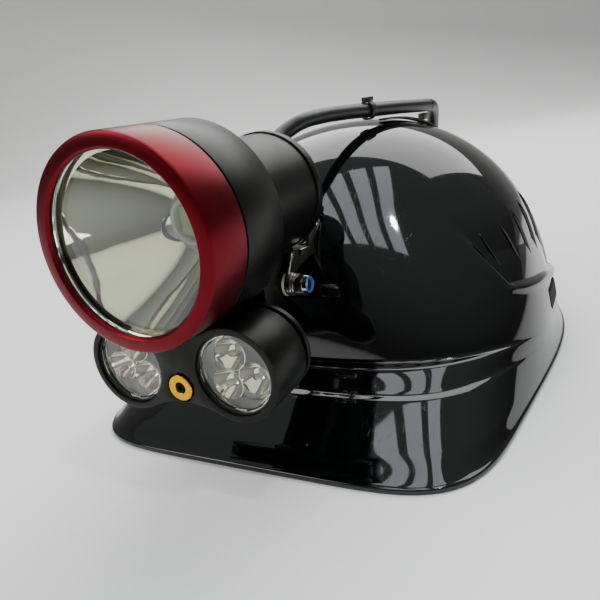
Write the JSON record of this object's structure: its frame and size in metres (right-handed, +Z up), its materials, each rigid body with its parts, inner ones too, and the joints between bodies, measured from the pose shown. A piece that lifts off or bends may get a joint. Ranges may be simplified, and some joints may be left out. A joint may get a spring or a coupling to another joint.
{
  "type": "miner's cap lamp",
  "caption": "Round spot lamp with a twin side lamp, tilting on a steel bracket at the front of a glossy black hard hat, with harness and battery lead.",
  "frame": {"origin": "on the plane that the hat's rim rests on, midway between the lamp's face and the rear of the rim, measured without the free battery lead", "axes": "+Z up, the lamp looks along -Y, +X is the wearer's left"},
  "size_m": [0.2399, 0.4571, 0.14],
  "materials": {
    "gloss_shell": "glossy moulded ABS with fine swirl scratches and a few dust specks",
    "red_anodised": "satin red anodised",
    "black_anodised": "satin black anodised",
    "clear_glass": "clear flat glass",
    "clear_optic": "clear moulded acrylic",
    "reflector_mirror": "smooth vacuum-metallised mirror",
    "polished_steel": "polished stainless steel",
    "bare_aluminium": "bare machined aluminium",
    "gold_washer": "smooth gold-coloured face",
    "black_steel": "black oxide",
    "circuit_board": "white solder mask",
    "led_phosphor": "phosphor under clear resin",
    "pale_nylon": "natural nylon",
    "blue_nylon": "blue nylon",
    "black_nylon": "moulded black nylon",
    "smoked_plastic": "translucent brownish plastic",
    "cable_rubber": "smooth matt rubber jacket",
    "seal_rubber": "moulded silicone rubber",
    "sweatband_foam": "perforated artificial leather over foam",
    "strap_webbing": "woven polyester webbing"
  },
  "bodies": {
    "helmet": {"helmet_shell": "gloss_shell", "headband": "black_nylon", "sweatband": "sweatband_foam", "key_front_left": "black_nylon", "key_front_right": "black_nylon", "key_rear_left": "black_nylon", "key_rear_right": "black_nylon", "crown_strap_lower": "strap_webbing", "crown_strap_upper": "strap_webbing", "nape_housing": "black_nylon", "lamp_bracket": "polished_steel", "bracket_screw_right": "polished_steel", "bracket_screw_left": "polished_steel", "bracket_nut_right": "polished_steel", "bracket_nut_left": "polished_steel", "pivot_bolt": "polished_steel", "washer_head": "polished_steel", "washer_plain": "polished_steel", "washer_spring": "polished_steel", "lock_nut": "polished_steel", "lock_nut_insert": "blue_nylon", "guide_strip": "black_nylon", "cable_post": "smoked_plastic", "cable_tie": "black_nylon", "lamp_cable": "cable_rubber", "battery_lead": "cable_rubber", "lead_coil": "cable_rubber", "lead_tail": "cable_rubber", "lead_plug": "black_nylon"},
    "lamp": {"bezel_ring": "red_anodised", "bezel_seal": "seal_rubber", "lens_glass": "clear_glass", "reflector": "reflector_mirror", "led_ring": "pale_nylon", "led_emitter": "led_phosphor", "led_board": "circuit_board", "head_housing": "black_anodised", "neck_tube": "black_anodised", "heat_sink_pill": "bare_aluminium", "driver_board": "circuit_board", "rear_cap": "black_anodised", "cable_gland": "black_nylon", "switch_module": "black_nylon", "lamp_foot": "black_anodised", "friction_washer_left": "pale_nylon", "friction_washer_right": "pale_nylon", "twin_housing": "black_anodised", "twin_rear_cover": "black_anodised", "twin_optic_right": "clear_optic", "twin_optic_left": "clear_optic", "twin_seal_right": "seal_rubber", "twin_seal_left": "seal_rubber", "twin_led_board_right": "circuit_board", "twin_led_board_left": "circuit_board", "twin_washer": "gold_washer", "twin_screw": "black_steel"},
    "size_knob": {"ratchet_knob": "black_nylon"},
    "button": {"switch_button": "seal_rubber"}
  },
  "joints": [
    {"name": "lamp_tilt", "type": "hinge", "parent": "helmet", "child": "lamp", "pos_m": [0, -0.0822, 0.0678], "axis": [1, 0, 0], "range_deg": [-8, 22], "deforming": ["lamp_cable"]},
    {"name": "size_adjust", "type": "hinge", "parent": "helmet", "child": "size_knob", "pos_m": [0, 0.135, 0.024], "axis": [0, 1, 0], "range_deg": [-180, 180]},
    {"name": "switch_press", "type": "slide", "parent": "lamp", "child": "button", "axis": [0, -1, 0], "range_m": [0, 0.0008], "stiffness_N_per_m": 800}
  ]
}
